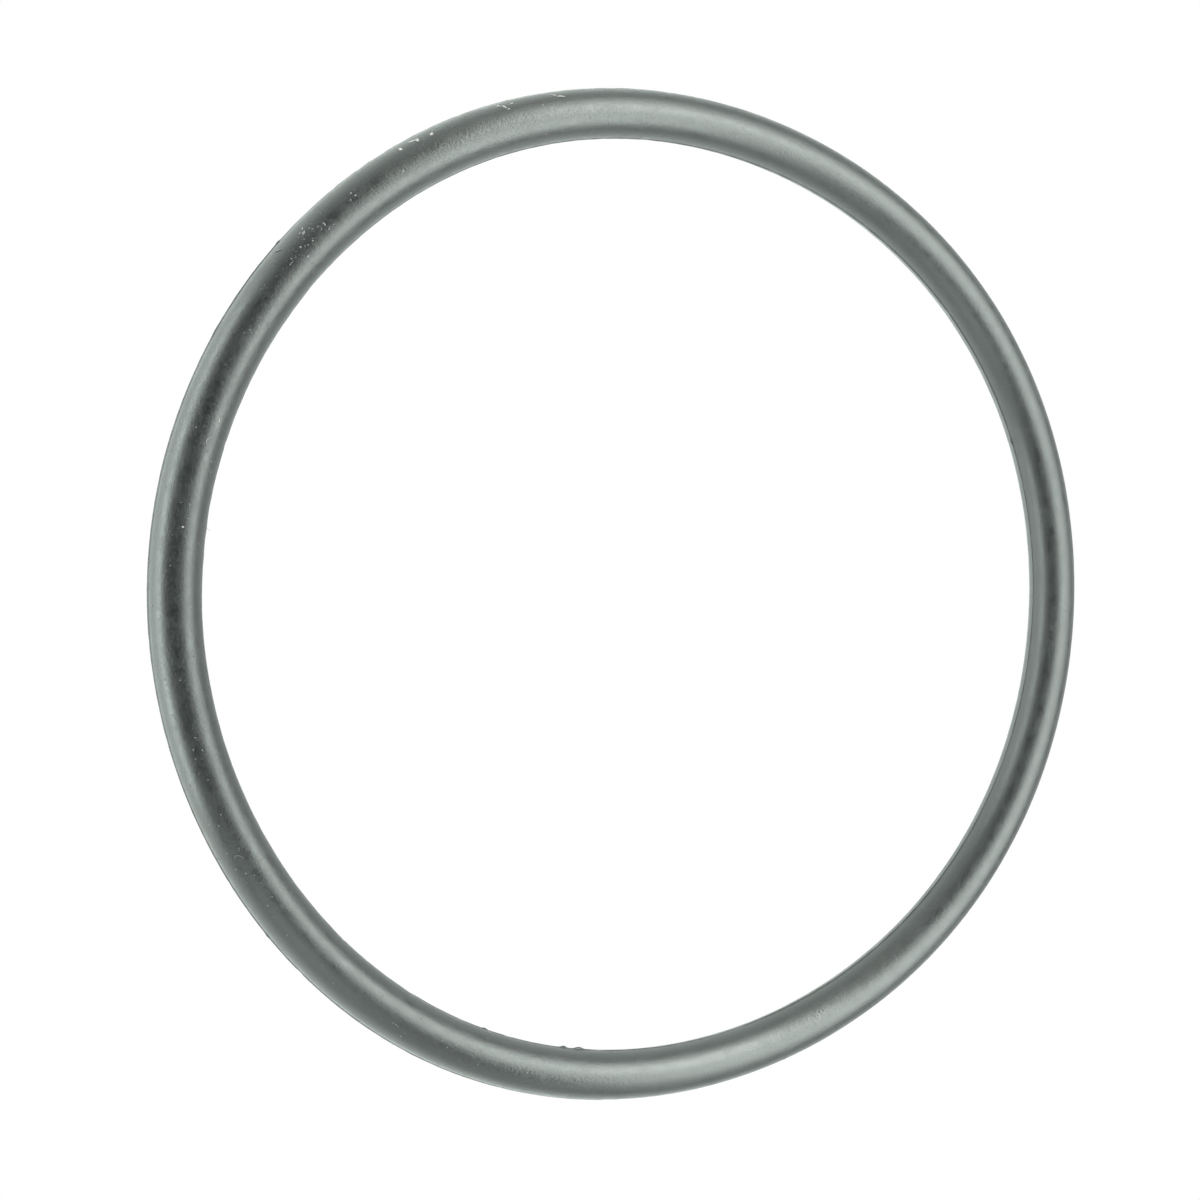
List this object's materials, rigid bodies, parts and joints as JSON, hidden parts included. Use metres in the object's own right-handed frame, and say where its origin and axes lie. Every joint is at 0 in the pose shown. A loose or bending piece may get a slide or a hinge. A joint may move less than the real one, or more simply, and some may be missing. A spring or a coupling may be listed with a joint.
{
  "type": "rubber o-ring",
  "caption": "Plain black rubber o-ring with a round section and a thin trimmed parting line around its inner and outer edge.",
  "frame": {"origin": "on the ring's axis, at the level of the surface that it lies on", "axes": "+Z along the ring's axis, up from the surface; X and Y lie in the ring's plane"},
  "size_m": [0.0734, 0.0734, 0.0035],
  "materials": {
    "rubber": "matte, with a faint sheen"
  },
  "bodies": {
    "root": {"o_ring": "rubber"}
  },
  "joints": []
}
